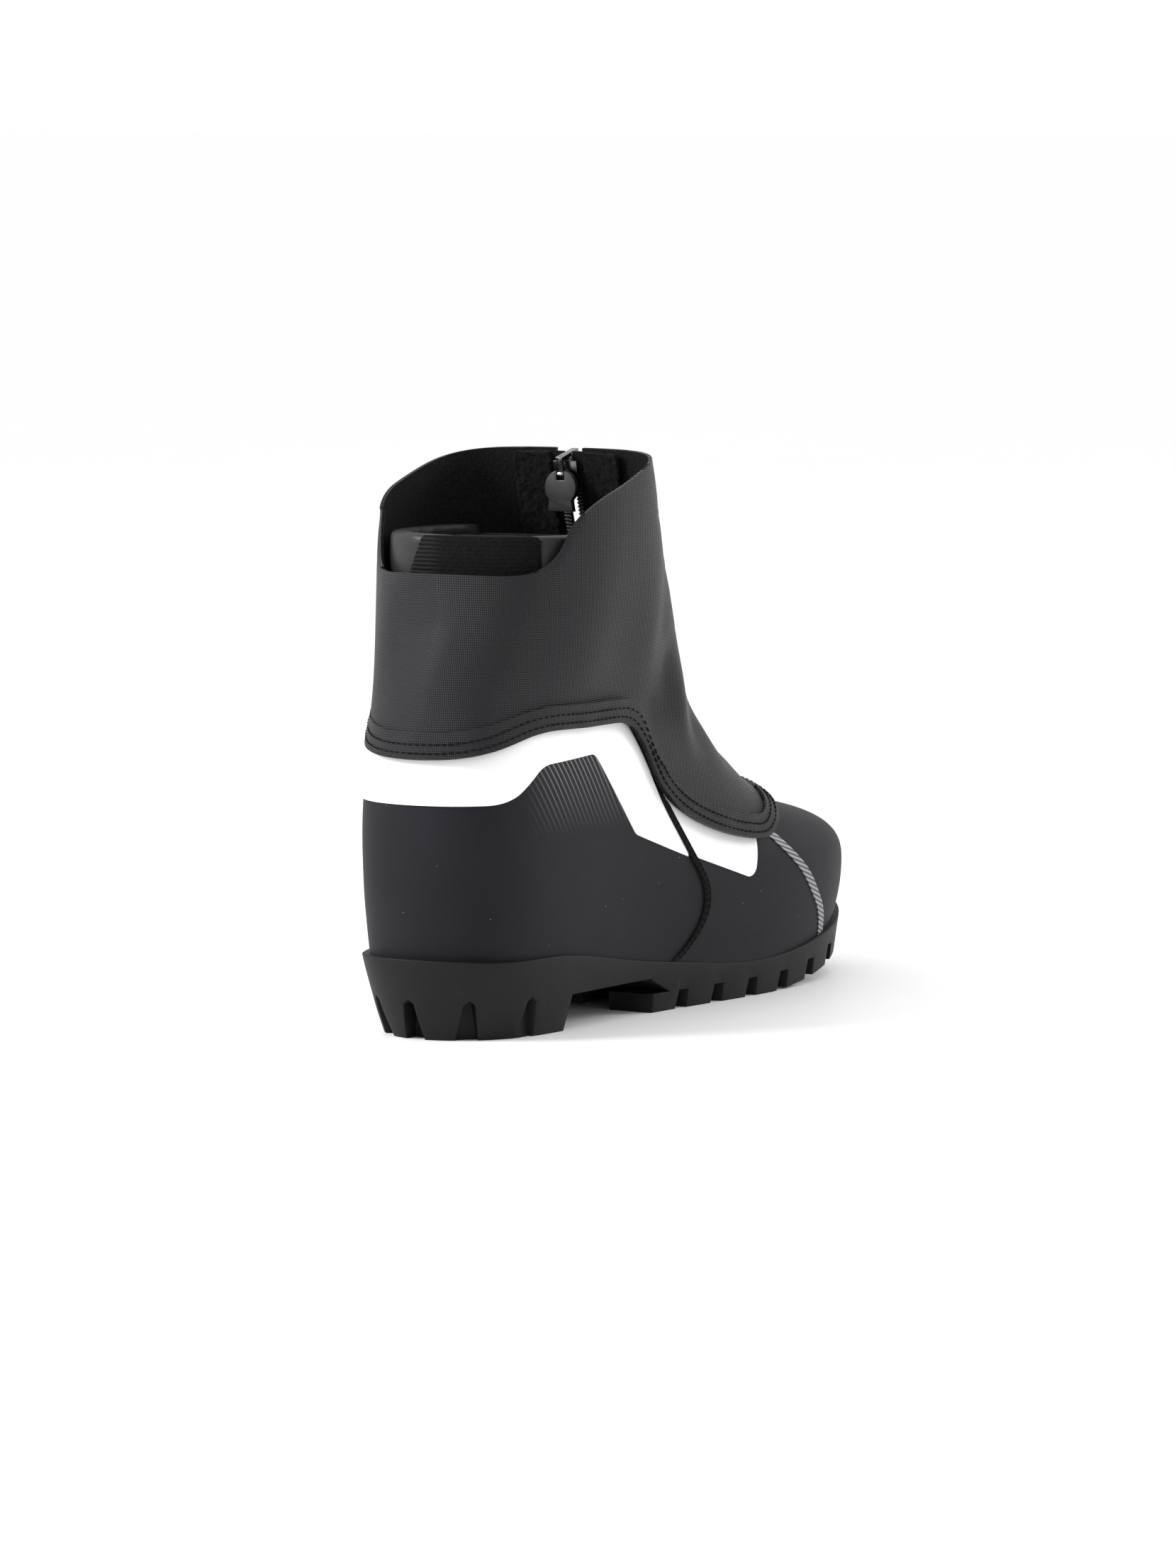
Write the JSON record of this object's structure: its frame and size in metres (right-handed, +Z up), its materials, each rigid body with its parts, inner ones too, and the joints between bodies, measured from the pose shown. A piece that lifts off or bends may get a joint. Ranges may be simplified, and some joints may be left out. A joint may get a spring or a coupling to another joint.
{
  "type": "cross country ski boot",
  "caption": "Right cross country ski boot with a zipped lace cover, a padded collar and a lugged rubber sole with a cross bar under the toe for the binding.",
  "frame": {"origin": "under the middle of the sole, at the height of the ground", "axes": "+X to the toe, +Y to the medial side, +Z up"},
  "size_m": [0.262, 0.0957, 0.1885],
  "materials": {
    "sole_rubber": "matt moulded",
    "sole_plastic": "matt",
    "steel": "satin",
    "upper_shell": "matt fine-grained softshell",
    "board": "matt",
    "lining_fleece": "brushed fleece",
    "footbed_felt": "felt",
    "knit": "ribbed knit",
    "collar_leather": "smooth coated",
    "tongue_fabric": "woven",
    "webbing": "woven tape",
    "white_print": "printed film",
    "grey_print": "printed film",
    "seam_tape": "narrow woven tape",
    "cover_fabric": "sheeny twill",
    "zip_fabric": "woven tape",
    "zip_plastic": "coil",
    "slider_metal": "black chrome",
    "pull_rubber": "smooth"
  },
  "bodies": {
    "root": {"outsole": "sole_rubber", "toe_insert": "sole_plastic", "binding_bar": "steel", "shank": "sole_plastic", "vamp": "upper_shell", "rear_quarter": "upper_shell", "heel_counter": "board", "toe_puff": "board", "insole_board": "board", "lining": "lining_fleece", "footbed": "footbed_felt", "collar_back_panel": "knit", "collar_pad_lateral": "collar_leather", "collar_pad_medial": "collar_leather", "tongue": "tongue_fabric", "eyestay_lateral": "upper_shell", "eyestay_medial": "upper_shell", "lace_loops": "webbing", "quarter_band": "white_print", "vamp_panel": "white_print", "toe_stripe": "grey_print", "quarter_seam": "seam_tape", "lace_cover": "cover_fabric", "cover_hem": "cover_fabric", "zip_tape_lateral": "zip_fabric", "zip_tape_medial": "zip_fabric", "zip_teeth_lateral": "zip_plastic", "zip_teeth_medial": "zip_plastic", "zip_facing_lateral": "lining_fleece", "zip_facing_medial": "lining_fleece", "zip_bottom_stop": "zip_plastic"},
    "zip_slider": {"zip_slider": "slider_metal"},
    "zip_pull_link": {"zip_pull_link": "slider_metal"},
    "zip_pull_tab": {"zip_pull_tab": "pull_rubber"}
  },
  "joints": [
    {"name": "zip_travel", "type": "hinge", "parent": "root", "child": "zip_slider", "pos_m": [0.16541, 0, 0.2249], "axis": [0, -1, 0], "range_deg": [0, 25.5]},
    {"name": "pull_flip", "type": "hinge", "parent": "zip_slider", "child": "zip_pull_link", "pos_m": [-0.02275, 0, 0.18523], "axis": [0, 1, 0], "range_deg": [0, 180]},
    {"name": "tab_swing", "type": "hinge", "parent": "zip_pull_link", "child": "zip_pull_tab", "pos_m": [-0.03171, 0, 0.17963], "axis": [0, 1, 0], "range_deg": [0, 110]}
  ]
}
